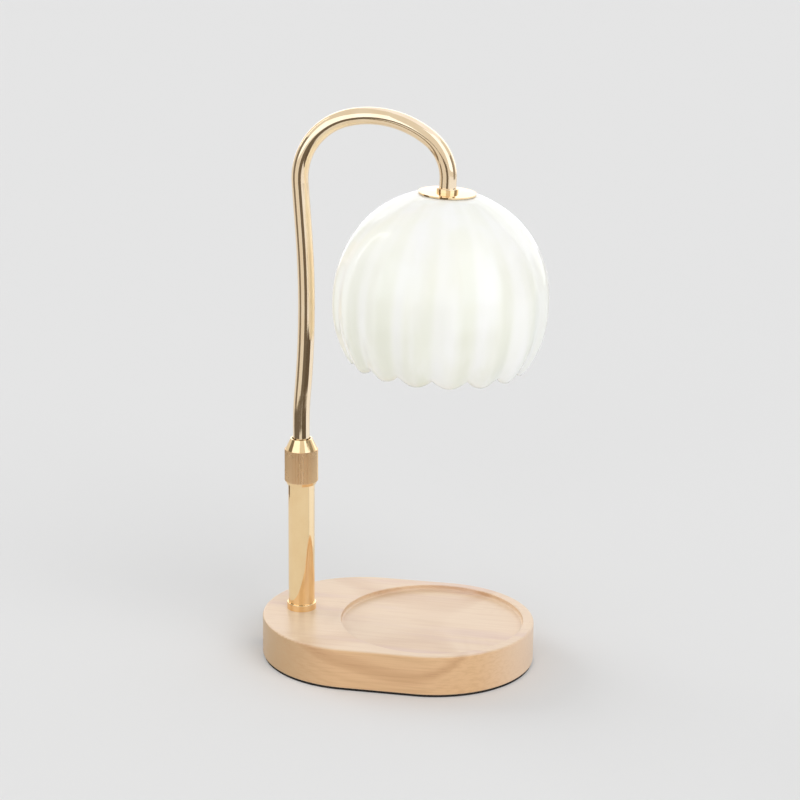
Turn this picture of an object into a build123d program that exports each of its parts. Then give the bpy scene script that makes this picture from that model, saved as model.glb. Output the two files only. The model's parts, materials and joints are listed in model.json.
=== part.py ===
from build123d import *
import math
import os

# Candle warmer lamp. Millimetres, +Z up, origin at the centre of the base's footprint.
# +X runs along the base from the post to the candle tray; the bent neck lies in the XZ plane.

# ------------------------------------------------------------------ clearances
seat_clearance = 0.02        # parts pressed or screwed together
running_clearance = 0.05     # parts that slide or turn on each other
bolt_clearance = 0.2         # screws and studs through plain holes

# ------------------------------------------------------------------ base
base_length = 165.0
base_width = 122.0
wood_thickness = 24.0
wood_top_round = 1.2
wood_bottom_chamfer = 0.5
pad_thickness = 1.5
pad_inset = 0.8
tray_side_margin = 6.0       # wood left beside the tray
tray_end_margin = 6.5        # wood left beyond the tray at the end of the base
tray_depth = 3.0
tray_cove = 1.5
tray_lip_round = 0.5
ballast_diameter = 84.0
ballast_thickness = 4.0
ballast_play = 0.2
ballast_screw_count = 3
ballast_screw_circle = 60.0
screw_head_diameter = 7.0
screw_head_height = 2.2
screw_diameter = 3.5
screw_length = 12.0
screw_tip_length = 2.5

# ------------------------------------------------------------------ cable gland and channel
gland_height = 8.0           # axis above the ground
gland_bore_diameter = 6.6
gland_body_diameter = 9.0
gland_flange_diameter = 12.4
gland_flange_thickness = 1.2
gland_recess = 0.3           # depth of the flange's face below the wood
gland_wall = 5.8             # wood that the gland clips through
gland_lip_diameter = 10.4
gland_lip_thickness = 1.2
channel_width = 12.0
channel_height = 12.5

# ------------------------------------------------------------------ post and its fastening
post_inset = 22.5            # axis from the rear end of the base
post_diameter = 16.0
post_wall = 1.0
post_height = 88.0           # above the wood
foot_ring_diameter = 17.8
foot_ring_height = 4.2
foot_ring_round = 0.5
stud_diameter = 10.0
stud_bore_diameter = 7.2
stud_rise = 9.0              # above the wood
stud_below_nut = 1.2
end_bush_height = 10.0
counterbore_diameter = 22.0
counterbore_depth = 14.0
washer_diameter = 19.0
washer_thickness = 1.5
lock_washer_diameter = 16.0
lock_washer_thickness = 0.8
lock_washer_teeth = 12
lock_washer_tooth_depth = 1.4
nut_across_flats = 14.0
nut_thickness = 3.0

# ------------------------------------------------------------------ clamp on top of the post
clamp_spigot_length = 12.0
clamp_flange_thickness = 1.0
clamp_thread_diameter = 15.6
clamp_height = 10.0          # above the post
clamp_socket_floor = 2.0     # floor of the taper socket above the post
clamp_socket_low_diameter = 11.4
clamp_socket_high_diameter = 13.6
collet_floor_gap = 0.4
collet_head_gap = 0.3
collet_head_height = 3.0
collet_head_diameter = 14.6
collet_slot_width = 0.8
collet_slot_count = 4
collet_bridge = 1.5          # uncut height above the slots
collar_overlap = 7.9         # skirt of the collar over the post
collar_height = 28.3
collar_diameter = 20.1
collar_foot_diameter = 17.8
collar_foot_height = 2.0
collar_cone_height = 6.7
collar_nose_diameter = 13.0
collar_nose_bore = 11.2
collar_press_gap = 0.2
collar_press_cone_height = 2.6
knurl_teeth = 64
knurl_depth = 0.35
knurl_proud = 0.1            # knurl roots above the smooth shoulders

# ------------------------------------------------------------------ neck tube
neck_diameter = 10.0
neck_wall = 1.0
neck_insertion = 55.0        # length inside the post
neck_rise = 9.6              # straight length above the collar
lean_bends = [(200.0, 5.2), (600.0, -9.3)]                 # radius, angle towards the tray
lean_length = 30.0
crook_bends = [(37.5, 79.7), (56.0, 51.3), (28.5, 55.6)]   # radius, angle towards the tray
drop_length = 6.4            # straight length down to the cap

# ------------------------------------------------------------------ guide on the neck's lower end
guide_length = 10.0
end_ring_height = 3.0
end_ring_lip = 1.0
end_ring_diameter = 13.2
end_ring_bore = 6.8
clip_diameter = 12.6
clip_thickness = 0.8
clip_groove_depth = 0.3
clip_play = 0.1
clip_opening = 70.0          # degrees

# ------------------------------------------------------------------ leads
lead_diameter = 1.8
lead_spacing = 2.3
lead_turn_radius = 4.0
lead_gap = 2.0               # from the gland's inner mouth
base_lead_rise = 12.0        # above the wood
slack_turns = 2.0
slack_coil_radius = 4.8
slack_ramp = 0.22            # share of the height in which the coil opens and closes

# ------------------------------------------------------------------ cap and shade
ferrule_diameter = 12.8
ferrule_height = 2.2
ferrule_chamfer = 0.4
cap_diameter = 33.6
cap_flat_diameter = 13.2
cap_fall = 0.4
cap_thickness = 0.7
cap_edge_height = 0.9
cap_lip = 0.8
cap_gasket_diameter = 24.0
under_gasket_diameter = 27.0
under_gasket_thickness = 1.0
shade_diameter = 127.2
shade_height = 103.3
shade_seat_diameter = 34.0
shade_belt = 3.8             # straight stretch between the upper and the lower round
shade_wall = 3.5
shade_hole_diameter = 11.2
lobe_count = 16
lobe_phase = -4.3            # degrees from +X to a lobe's crest
lobe_depth = 2.3
lobe_depth_at_crown = 0.3
scallop_depth = 5.0
crown_section_count = 7
lower_section_count = 4
shade_washer_diameter = 26.0
shade_washer_thickness = 1.2

# ------------------------------------------------------------------ lampholder
bracket_thickness = 1.2
bracket_width = 16.0
bracket_span = 18.0          # over the outside of the legs
bracket_reach = 28.8         # over the feet
bracket_height = 13.3
stem_below_nut = 1.0
holder_diameter = 30.0
holder_height = 16.0
holder_chamfer = 1.0
holder_plate_thickness = 3.2 # face plate that the pins turn behind
holder_chamber_height = 4.4
pin_circle = 10.0
pin_places = (90.0, 270.0)   # degrees round the head's axis
pin_diameter = 3.0
pin_head_diameter = 4.8
pin_head_height = 2.6
pin_head_gap = 0.4
pin_slot_play = 0.6
twist_angle = 27.0           # degrees from locked to free
contact_thickness = 0.5
contact_width = 3.6
contact_gap = 0.3
contact_stem_diameter = 2.0
contact_stem_proud = 1.0
holder_screw_spacing = 23.4
holder_screw_diameter = 3.0
holder_screw_head_diameter = 4.8
holder_screw_head_height = 2.0
holder_screw_length = 8.0

# ------------------------------------------------------------------ bulb
bulb_gap = 0.3
bulb_length = 47.0
bulb_diameter = 50.0
bulb_wall = 1.4
bulb_base_diameter = 19.0
bulb_base_height = 9.0
bulb_boss_diameter = 15.2
bulb_boss_height = 7.0
bulb_neck_height = 5.0
bulb_rim_height = 3.5
bulb_bowl_bulge = 5.0
lens_thickness = 1.8
lens_recess = 0.2
capsule_diameter = 8.4
capsule_length = 18.0

# ------------------------------------------------------------------ levels and radii that follow
deck_z = pad_thickness + wood_thickness
end_x = base_length / 2
tray_diameter = base_width - 2 * tray_side_margin
tray_x = end_x - tray_end_margin - tray_diameter / 2
post_x = post_inset - end_x
post_radius = post_diameter / 2
post_bore_radius = post_radius - post_wall
post_top_z = deck_z + post_height
stud_radius = stud_diameter / 2
stud_thread_radius = stud_radius + seat_clearance
washer_top_z = pad_thickness + counterbore_depth
lock_washer_top_z = washer_top_z - washer_thickness
nut_top_z = lock_washer_top_z - lock_washer_thickness
gland_outer_x = gland_recess - end_x
gland_seat_x = gland_outer_x + gland_flange_thickness
gland_inner_x = gland_seat_x + gland_wall + gland_lip_thickness
channel_start_x = gland_seat_x + gland_wall

collar_z = post_top_z - collar_overlap
collar_radius = collar_diameter / 2
collet_head_z = post_top_z + clamp_height + collet_head_gap
collet_top_z = collet_head_z + collet_head_height

neck_radius = neck_diameter / 2
neck_bore_radius = neck_radius - neck_wall
neck_slide_radius = neck_radius + running_clearance
neck_thread_radius = neck_radius + seat_clearance
neck_low_z = post_top_z - neck_insertion
guide_z = neck_low_z + end_ring_height + clip_play
clip_z = guide_z + guide_length + clip_play

# depths below the top of the cap, along the head's own axis
glass_seat_depth = cap_fall + cap_edge_height
shade_radius = shade_diameter / 2
shade_seat_radius = shade_seat_diameter / 2
shade_inner_radius = shade_radius - shade_wall
round_depth = math.sqrt(shade_radius ** 2 - shade_seat_radius ** 2)
inner_seat_depth = round_depth - math.sqrt(shade_inner_radius ** 2 - shade_seat_radius ** 2)
under_gasket_depth = glass_seat_depth + inner_seat_depth
shade_washer_depth = under_gasket_depth + under_gasket_thickness
shade_nut_depth = shade_washer_depth + shade_washer_thickness
bracket_depth = shade_nut_depth + nut_thickness
bracket_nut_depth = bracket_depth + bracket_thickness
stem_depth = bracket_nut_depth + nut_thickness + stem_below_nut
holder_depth = bracket_depth + bracket_height
holder_face_depth = holder_depth + holder_height
plate_depth = holder_face_depth - holder_plate_thickness
chamber_depth = plate_depth - holder_chamber_height
pin_head_depth = plate_depth - pin_head_gap
contact_depth = pin_head_depth - pin_head_height - contact_gap
bulb_depth = holder_face_depth + bulb_gap
pin_radius = pin_circle / 2


# ------------------------------------------------------------------ building helpers
class Route:
    """A route of straight runs and tangent arcs in one plane.

    A heading is in degrees from the plane's own +Y towards its own +X.
    """

    def __init__(self, x, y, heading=0.0, plane=Plane.XZ):
        self.x = x
        self.y = y
        self.heading = heading
        self.plane = plane
        self.start = self.across()
        self.edges = []

    def direction(self):
        turn = math.radians(self.heading)
        return (math.sin(turn), math.cos(turn))

    def run(self, length):
        here = (self.x, self.y)
        step_x, step_y = self.direction()
        self.x += length * step_x
        self.y += length * step_y
        self.edges.append(Line(here, (self.x, self.y)))

    def bend(self, radius, angle):
        side = math.copysign(radius, angle)
        step_x, step_y = self.direction()
        centre_x = self.x + side * step_y
        centre_y = self.y - side * step_x

        def point(share):
            turn = math.radians(self.heading + share * angle)
            return (centre_x - side * math.cos(turn), centre_y + side * math.sin(turn))

        self.edges.append(ThreePointArc(point(0.0), point(0.5), point(1.0)))
        self.x, self.y = point(1.0)
        self.heading += angle

    def across(self):
        """The plane across the route where it now ends, with its X along the route plane's normal."""
        step_x, step_y = self.direction()
        along = self.plane.from_local_coords((step_x, step_y)) - self.plane.origin
        here = self.plane.from_local_coords((self.x, self.y))
        return Plane(origin=here, x_dir=self.plane.z_dir, z_dir=along)

    def sweep(self, section):
        return sweep(self.start * section, path=self.plane * Wire(self.edges))


def turned(*points):
    """A solid turned about Z from a closed outline of (radius, height) points."""
    return revolve(Plane.XZ * make_face(Polyline(*points, close=True)), Axis.Z)


def ring(outer_radius, inner_radius, low, high):
    return turned((inner_radius, low), (outer_radius, low), (outer_radius, high), (inner_radius, high))


def rod(radius, low, high):
    return turned((0, low), (radius, low), (radius, high), (0, high))


def polar(radius, degrees):
    turn = math.radians(degrees)
    return (radius * math.cos(turn), radius * math.sin(turn))


def toothed_face(radius, tooth_depth, teeth):
    points = []
    for index in range(2 * teeth):
        tip_or_root = radius - tooth_depth * (index % 2)
        points.append(polar(tip_or_root, 180.0 * index / teeth))
    return make_face(Polyline(*points, close=True))


def hex_nut(across_flats, hole_radius, low, high):
    flats = RegularPolygon(across_flats / 2, 6, major_radius=False, rotation=30)
    return Pos(0, 0, low) * extrude(flats - Circle(hole_radius), high - low)


def at_post(solid):
    return Pos(post_x, 0, 0) * solid


def lead_pair():
    """Cross-section of two leads side by side, one each side of the plane that their route lies in."""
    lead = Circle(lead_diameter / 2)
    return Pos(lead_spacing / 2, 0) * lead + Pos(-lead_spacing / 2, 0) * lead


# ------------------------------------------------------------------ base
def ballast_screw_places():
    return [
        polar(ballast_screw_circle / 2, 360.0 * index / ballast_screw_count)
        for index in range(ballast_screw_count)
    ]


def ballast_screw(head_play, shank_play):
    """One countersunk wood screw, point up, with its head's face at height 0."""
    head = screw_head_diameter / 2 + head_play
    shank = screw_diameter / 2 + shank_play
    shank_top = screw_length - screw_tip_length
    return turned((0, 0), (head, 0), (shank, screw_head_height), (shank, shank_top), (0, screw_length))


def make_wood_base():
    body = Pos(0, 0, pad_thickness) * extrude(SlotOverall(base_length, base_width), wood_thickness)
    body = fillet(body.edges().group_by(Axis.Z)[-1], wood_top_round)
    body = chamfer(body.edges().group_by(Axis.Z)[0], wood_bottom_chamfer)

    tray_radius = tray_diameter / 2
    floor_z = deck_z - tray_depth
    hollow = Pos(tray_x, 0, 0) * rod(tray_radius, floor_z, deck_z + tray_depth)
    hollow = fillet(hollow.edges().group_by(Axis.Z)[0], tray_cove)
    body -= hollow
    rounds = body.edges().filter_by(GeomType.CIRCLE)
    lip = rounds.filter_by(lambda edge: math.isclose(edge.radius, tray_radius))
    body = fillet(lip.group_by(Axis.Z)[-1], tray_lip_round)

    body -= at_post(rod(stud_radius + bolt_clearance, pad_thickness, deck_z))
    body -= at_post(rod(counterbore_diameter / 2, 0, washer_top_z))
    channel = Box(post_x - channel_start_x, channel_width, pad_thickness + channel_height, align=Align.MIN)
    body -= Pos(channel_start_x, -channel_width / 2, 0) * channel

    gland_axis = Plane(origin=(0, 0, gland_height), x_dir=(0, 1, 0), z_dir=(1, 0, 0))
    body -= gland_axis * rod(gland_body_diameter / 2 + seat_clearance, -end_x, channel_start_x)
    body -= gland_axis * rod(gland_flange_diameter / 2 + bolt_clearance, -end_x, gland_seat_x)

    pocket_top = pad_thickness + ballast_play + ballast_thickness
    body -= Pos(tray_x, 0, 0) * rod(ballast_diameter / 2 + bolt_clearance, 0, pocket_top)
    for x, y in ballast_screw_places():
        pilot = ballast_screw(seat_clearance, seat_clearance)
        body -= Pos(tray_x + x, y, pad_thickness + ballast_play) * pilot
    return body


def make_base_pad():
    outline = SlotOverall(base_length - 2 * pad_inset, base_width - 2 * pad_inset)
    return extrude(outline, pad_thickness)


def make_ballast_plate():
    low = pad_thickness + ballast_play
    plate = Pos(tray_x, 0, 0) * rod(ballast_diameter / 2, low, low + ballast_thickness)
    for x, y in ballast_screw_places():
        plate -= Pos(tray_x + x, y, low) * ballast_screw(seat_clearance, bolt_clearance)
    return plate


def make_ballast_screws():
    low = pad_thickness + ballast_play
    return Part() + [
        Pos(tray_x + x, y, low) * ballast_screw(0, 0) for x, y in ballast_screw_places()
    ]


def make_cable_gland():
    bore = gland_bore_diameter / 2
    seat = gland_flange_thickness
    inner = seat + gland_wall
    end = inner + gland_lip_thickness
    gland = turned(
        (bore, 0),
        (gland_flange_diameter / 2, 0),
        (gland_flange_diameter / 2, seat),
        (gland_body_diameter / 2, seat),
        (gland_body_diameter / 2, inner),
        (gland_lip_diameter / 2, inner),
        (gland_body_diameter / 2, end),
        (bore, end),
    )
    return Plane(origin=(gland_outer_x, 0, gland_height), x_dir=(0, 1, 0), z_dir=(1, 0, 0)) * gland


# ------------------------------------------------------------------ post
def make_post_foot_ring():
    hoop = ring(foot_ring_diameter / 2, post_radius + seat_clearance, deck_z, deck_z + foot_ring_height)
    rim = hoop.edges().group_by(Axis.Z)[-1].sort_by(SortBy.LENGTH)[-1]
    return at_post(fillet(rim, foot_ring_round))


def make_post_tube():
    return at_post(ring(post_radius, post_bore_radius, deck_z, post_top_z))


def make_post_end_bush():
    outer = post_bore_radius - seat_clearance
    return at_post(ring(outer, stud_thread_radius, deck_z, deck_z + end_bush_height))


def make_post_stud():
    low = nut_top_z - nut_thickness - stud_below_nut
    return at_post(ring(stud_radius, stud_bore_diameter / 2, low, deck_z + stud_rise))


def make_post_washer():
    hole = stud_radius + bolt_clearance
    return at_post(ring(washer_diameter / 2, hole, lock_washer_top_z, washer_top_z))


def make_post_lock_washer():
    face = toothed_face(lock_washer_diameter / 2, lock_washer_tooth_depth, lock_washer_teeth)
    face -= Circle(stud_radius + bolt_clearance)
    return at_post(Pos(0, 0, nut_top_z) * extrude(face, lock_washer_thickness))


def make_post_nut():
    return at_post(hex_nut(nut_across_flats, stud_thread_radius, nut_top_z - nut_thickness, nut_top_z))


# ------------------------------------------------------------------ clamp
def socket_radius(height):
    """Radius of the clamp's taper socket at a height above the post."""
    low = clamp_socket_low_diameter / 2
    high = clamp_socket_high_diameter / 2
    share = (height - clamp_socket_floor) / (clamp_height - clamp_socket_floor)
    return low + share * (high - low)


def make_clamp_bush():
    spigot = post_bore_radius - seat_clearance
    thread = clamp_thread_diameter / 2
    bush = turned(
        (neck_slide_radius, -clamp_spigot_length),
        (spigot, -clamp_spigot_length),
        (spigot, 0),
        (post_radius, 0),
        (post_radius, clamp_flange_thickness),
        (thread, clamp_flange_thickness),
        (thread, clamp_height),
        (socket_radius(clamp_height), clamp_height),
        (socket_radius(clamp_socket_floor), clamp_socket_floor),
        (neck_slide_radius, clamp_socket_floor),
    )
    return at_post(Pos(0, 0, post_top_z) * bush)


def make_clamp_collet():
    low = clamp_socket_floor + collet_floor_gap
    head_low = clamp_height + collet_head_gap
    head_high = head_low + collet_head_height
    head = collet_head_diameter / 2
    collet = turned(
        (neck_slide_radius, low),
        (socket_radius(low) - running_clearance, low),
        (socket_radius(head_low) - running_clearance, head_low),
        (head, head_low),
        (head, head_high),
        (neck_slide_radius, head_high),
    )
    slot_height = head_high - collet_bridge - low
    slot = Box(head, collet_slot_width, slot_height, align=(Align.MIN, Align.CENTER, Align.MIN))
    for index in range(collet_slot_count):
        collet -= Rot(0, 0, 360.0 * index / collet_slot_count) * Pos(0, 0, low) * slot
    return at_post(Pos(0, 0, post_top_z) * collet)


def make_lock_collar():
    shoulder = collar_radius - knurl_depth - knurl_proud
    cone_low = collar_height - collar_cone_height
    foot_radius = collar_foot_diameter / 2
    nose_radius = collar_nose_diameter / 2
    foot = turned((0, 0), (foot_radius, 0), (shoulder, collar_foot_height), (0, collar_foot_height))
    nose = turned((0, cone_low), (shoulder, cone_low), (nose_radius, collar_height), (0, collar_height))
    knurl = extrude(toothed_face(collar_radius, knurl_depth, knurl_teeth), cone_low - collar_foot_height)
    collar = foot + Pos(0, 0, collar_foot_height) * knurl + nose

    skirt = post_radius + running_clearance
    thread = clamp_thread_diameter / 2 + running_clearance
    nose_bore = collar_nose_bore / 2
    thread_low = collar_overlap + clamp_flange_thickness + bolt_clearance
    press = collet_top_z - collar_z + collar_press_gap
    collar -= turned(
        (0, 0),
        (skirt, 0),
        (skirt, thread_low),
        (thread, thread_low),
        (thread, press),
        (nose_bore, press + collar_press_cone_height),
        (nose_bore, collar_height),
        (0, collar_height),
    )
    return at_post(Pos(0, 0, collar_z) * collar)


# ------------------------------------------------------------------ neck
def neck_route(low_z, beyond_cap):
    """The neck's centre line, from a height inside the post to a depth below the top of the cap."""
    route = Route(post_x, low_z)
    route.run(collar_z + collar_height + neck_rise - low_z)
    for radius, angle in lean_bends:
        route.bend(radius, angle)
    route.run(lean_length)
    for radius, angle in crook_bends:
        route.bend(radius, angle)
    route.run(drop_length + beyond_cap)
    return route


head_route = neck_route(neck_low_z, 0.0)
head_tilt = math.radians(head_route.heading - 180.0)
head_plane = Plane(
    origin=(head_route.x, 0, head_route.y),
    x_dir=(math.cos(head_tilt), 0, -math.sin(head_tilt)),
    z_dir=(math.sin(head_tilt), 0, math.cos(head_tilt)),
)


def at_head(solid):
    return head_plane * solid


def make_neck_tube():
    route = neck_route(neck_low_z, stem_depth)
    tube = route.sweep(Circle(neck_radius) - Circle(neck_bore_radius))
    groove_floor = neck_radius - clip_groove_depth
    groove = ring(neck_slide_radius, groove_floor, clip_z, clip_z + clip_thickness)
    return tube - at_post(groove)


def make_end_ring():
    outer = end_ring_diameter / 2
    return at_post(
        turned(
            (end_ring_bore / 2, neck_low_z - end_ring_lip),
            (outer, neck_low_z - end_ring_lip),
            (outer, neck_low_z + end_ring_height),
            (neck_thread_radius, neck_low_z + end_ring_height),
            (neck_thread_radius, neck_low_z),
            (end_ring_bore / 2, neck_low_z),
        )
    )


def make_guide_sleeve():
    outer = post_bore_radius - running_clearance
    return at_post(ring(outer, neck_slide_radius, guide_z, guide_z + guide_length))


def make_stop_clip():
    outer = clip_diameter / 2
    inner = neck_radius - clip_groove_depth + seat_clearance
    clip = ring(outer, inner, clip_z, clip_z + clip_thickness)
    half = math.radians(clip_opening / 2)
    mouth = make_face(
        Polyline(
            (0, 0),
            (2 * outer * math.cos(half), 2 * outer * math.sin(half)),
            (2 * outer * math.cos(half), -2 * outer * math.sin(half)),
            close=True,
        )
    )
    return at_post(clip - Pos(0, 0, clip_z) * extrude(mouth, clip_thickness))


# ------------------------------------------------------------------ leads
def make_base_leads():
    start_x = gland_inner_x + lead_gap
    route = Route(start_x, gland_height, heading=90.0)
    route.run(post_x - lead_turn_radius - start_x)
    route.bend(lead_turn_radius, -90.0)
    route.run(deck_z + base_lead_rise - route.y)
    return route.sweep(lead_pair())


def ease(share):
    """A share from 0 to 1 with a level start and end."""
    return share * share * (3 - 2 * share)


def make_slack_leads():
    """A loose double coil that stores the lead length for the neck's height travel."""
    low = deck_z + base_lead_rise
    high = neck_low_z - end_ring_lip
    inner_radius = lead_spacing / 2
    point_count = 48
    leads = []
    for first_angle in (90.0, 270.0):
        points = []
        for index in range(point_count + 1):
            share = index / point_count
            opening = ease(min(1.0, share / slack_ramp, (1.0 - share) / slack_ramp))
            radius = inner_radius + (slack_coil_radius - inner_radius) * opening
            x, y = polar(radius, first_angle + 360.0 * slack_turns * ease(share))
            points.append((x, y, low + (high - low) * share))
        path = Spline(*points)
        start = Plane(origin=points[0], z_dir=path % 0)
        leads.append(sweep(start * Circle(lead_diameter / 2), path=path))
    between_ends = rod(post_bore_radius, low, high)
    return at_post(Part() + [lead & between_ends for lead in leads])


def make_neck_leads():
    leads = neck_route(neck_low_z - end_ring_lip, stem_depth).sweep(lead_pair())
    height = holder_depth - contact_stem_proud - stem_depth
    shift = pin_radius - lead_spacing / 2
    turn = 2 * math.atan(shift / height)
    radius = height / (2 * math.sin(turn))
    for side in (1, -1):
        plane = Plane(origin=head_plane.origin, x_dir=(0, side, 0), z_dir=head_plane.x_dir * side)
        route = Route(lead_spacing / 2, -stem_depth, heading=180.0, plane=plane)
        route.bend(radius, -math.degrees(turn))
        route.bend(radius, math.degrees(turn))
        leads += route.sweep(Circle(lead_diameter / 2))
    return leads


# ------------------------------------------------------------------ cap and shade
def cap_underside(radius):
    """Depth of the cap's sloping underside at a radius."""
    flat = cap_flat_diameter / 2
    edge = cap_diameter / 2 - cap_lip
    return cap_thickness + (glass_seat_depth - cap_thickness) * (radius - flat) / (edge - flat)


def make_ferrule():
    barrel = ring(ferrule_diameter / 2, neck_thread_radius, 0, ferrule_height)
    rim = barrel.edges().group_by(Axis.Z)[-1].sort_by(SortBy.LENGTH)[-1]
    return at_head(chamfer(rim, ferrule_chamfer))


def make_shade_cap():
    hole = neck_radius + bolt_clearance
    edge = cap_diameter / 2
    flat = cap_flat_diameter / 2
    return at_head(
        turned(
            (hole, 0),
            (flat, 0),
            (edge, -cap_fall),
            (edge, -glass_seat_depth),
            (edge - cap_lip, -glass_seat_depth),
            (flat, -cap_thickness),
            (hole, -cap_thickness),
        )
    )


def make_cap_gasket():
    hole = neck_radius + bolt_clearance
    flat = cap_flat_diameter / 2
    outer = cap_gasket_diameter / 2
    return at_head(
        turned(
            (hole, -cap_thickness),
            (flat, -cap_thickness),
            (outer, -cap_underside(outer)),
            (outer, -glass_seat_depth),
            (hole, -glass_seat_depth),
        )
    )


def lobed_face(depth, crest_radius, valley_depth):
    """A cross-section of the shade: convex arcs that meet in sharp valleys."""
    half_pitch = 180.0 / lobe_count
    arcs = []
    for index in range(lobe_count):
        crest = lobe_phase + 2 * half_pitch * index
        start = polar(crest_radius - valley_depth, crest - half_pitch)
        end = polar(crest_radius - valley_depth, crest + half_pitch)
        arcs.append(ThreePointArc(start, polar(crest_radius, crest), end))
    return Pos(0, 0, -depth) * make_face(Wire(arcs))


def lobed_body(radius, seat_depth, end_depth):
    """The shade's outside or inside: a round crown, a short belt and a round drawn in to the rim."""
    lower_round_depth = round_depth + shade_belt
    seat_angle = math.asin(shade_seat_radius / radius)
    end_angle = math.asin((end_depth - lower_round_depth) / radius)
    sections = []
    for index in range(crown_section_count):
        angle = seat_angle + (math.pi / 2 - seat_angle) * index / (crown_section_count - 1)
        share = 2 * angle / math.pi
        depth = seat_depth if index == 0 else round_depth - radius * math.cos(angle)
        valley = lobe_depth_at_crown + (lobe_depth - lobe_depth_at_crown) * share
        sections.append(lobed_face(depth, radius * math.sin(angle), valley))
    for index in range(lower_section_count):
        angle = end_angle * index / (lower_section_count - 1)
        depth = lower_round_depth + radius * math.sin(angle)
        sections.append(lobed_face(depth, radius * math.cos(angle), lobe_depth))
    return loft(sections)


def scallop_cutter(rim_radius):
    """What is cut away between two lobes at the rim, for the valley that faces +X."""
    half_width = rim_radius * math.sin(math.pi / lobe_count)
    arc_radius = (half_width ** 2 + scallop_depth ** 2) / (2 * scallop_depth)
    reach = half_width / 2
    drop = arc_radius - math.sqrt(arc_radius ** 2 - reach ** 2)
    below = -scallop_depth
    outline = Wire([
        ThreePointArc((-half_width, 0), (-reach, drop), (0, scallop_depth)),
        ThreePointArc((0, scallop_depth), (reach, drop), (half_width, 0)),
        Line((half_width, 0), (half_width, below)),
        Line((half_width, below), (-half_width, below)),
        Line((-half_width, below), (-half_width, 0)),
    ])
    across = Plane(origin=(rim_radius / 2, 0, -shade_height), x_dir=(0, 1, 0), z_dir=(1, 0, 0))
    return extrude(across * make_face(outline), rim_radius)


def make_glass_shade():
    rim_depth_below_round = shade_height - round_depth - shade_belt
    rim_radius = math.sqrt(shade_radius ** 2 - rim_depth_below_round ** 2)
    glass = lobed_body(shade_radius, 0.0, shade_height)
    glass -= lobed_body(shade_inner_radius, inner_seat_depth, shade_height + scallop_depth)
    glass -= rod(shade_hole_diameter / 2, -2 * inner_seat_depth, inner_seat_depth)
    cutter = scallop_cutter(rim_radius)
    for index in range(lobe_count):
        valley = lobe_phase + 360.0 * (index + 0.5) / lobe_count
        glass -= Rot(0, 0, valley) * cutter
    return at_head(Pos(0, 0, -glass_seat_depth) * glass)


def make_under_gasket():
    hole = neck_radius + bolt_clearance
    return at_head(ring(under_gasket_diameter / 2, hole, -shade_washer_depth, -under_gasket_depth))


def make_shade_washer():
    hole = neck_radius + bolt_clearance
    return at_head(ring(shade_washer_diameter / 2, hole, -shade_nut_depth, -shade_washer_depth))


def make_shade_nut():
    return at_head(hex_nut(nut_across_flats, neck_thread_radius, -bracket_depth, -shade_nut_depth))


# ------------------------------------------------------------------ lampholder
def make_holder_bracket():
    leg = bracket_span / 2
    foot = bracket_reach / 2
    foot_top = bracket_height - bracket_thickness
    half = [
        (leg, 0),
        (leg, -foot_top),
        (foot, -foot_top),
        (foot, -bracket_height),
        (leg - bracket_thickness, -bracket_height),
        (leg - bracket_thickness, -bracket_thickness),
    ]
    outline = half + [(-x, z) for x, z in reversed(half)]
    strip = extrude(Plane.XZ * make_face(Polyline(*outline, close=True)), bracket_width / 2, both=True)
    strip -= rod(neck_radius + bolt_clearance, -bracket_thickness, 0)
    for side in (1, -1):
        hole = rod(holder_screw_diameter / 2 + bolt_clearance, -bracket_height, -foot_top)
        strip -= Pos(side * holder_screw_spacing / 2, 0, 0) * hole
    strip &= rod(holder_diameter / 2, -bracket_height, 0)
    return at_head(Pos(0, 0, -bracket_depth) * strip)


def make_bracket_nut():
    low = bracket_nut_depth + nut_thickness
    return at_head(hex_nut(nut_across_flats, neck_thread_radius, -low, -bracket_nut_depth))


def pin_slot(width, depth_low, depth_high):
    """A pair of arc-shaped slots from the locked to the free place of the bulb's pins."""
    slots = Sketch()
    for start in pin_places:
        slots += SlotArc(CenterArc((0, 0), pin_radius, start, twist_angle), width)
    return Pos(0, 0, -depth_low) * extrude(slots, depth_low - depth_high)


def chamfered_disc(low, high, rim_z):
    """A disc of the lampholder's diameter with the rim at one height chamfered."""
    disc = rod(holder_diameter / 2, low, high)
    rims = disc.edges().filter_by(GeomType.CIRCLE)
    rim = rims.filter_by(lambda edge: math.isclose(edge.center().Z, rim_z, abs_tol=seat_clearance))
    return chamfer(rim, holder_chamfer)


def make_lampholder():
    body = chamfered_disc(-plate_depth, -holder_depth, -holder_depth)
    body -= pin_slot(pin_head_diameter + 2 * pin_slot_play, plate_depth, chamber_depth)
    for start in pin_places:
        stem_x, stem_y = polar(pin_radius, start)
        stem = rod(contact_stem_diameter / 2 + seat_clearance, -chamber_depth, -holder_depth)
        body -= Pos(stem_x, stem_y, 0) * stem
    screw_low = holder_depth - bracket_thickness + holder_screw_length
    for side in (1, -1):
        hole = rod(holder_screw_diameter / 2 + seat_clearance, -screw_low, -holder_depth)
        body -= Pos(side * holder_screw_spacing / 2, 0, 0) * hole
    return at_head(body)


def make_holder_plate():
    plate = chamfered_disc(-holder_face_depth, -plate_depth, -holder_face_depth)
    plate -= pin_slot(pin_diameter + 2 * pin_slot_play, holder_face_depth, plate_depth)
    for start in pin_places:
        free_x, free_y = polar(pin_radius, start + twist_angle)
        way_in = rod(pin_head_diameter / 2 + pin_slot_play, -holder_face_depth, -plate_depth)
        plate -= Pos(free_x, free_y, 0) * way_in
    return at_head(plate)


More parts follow.
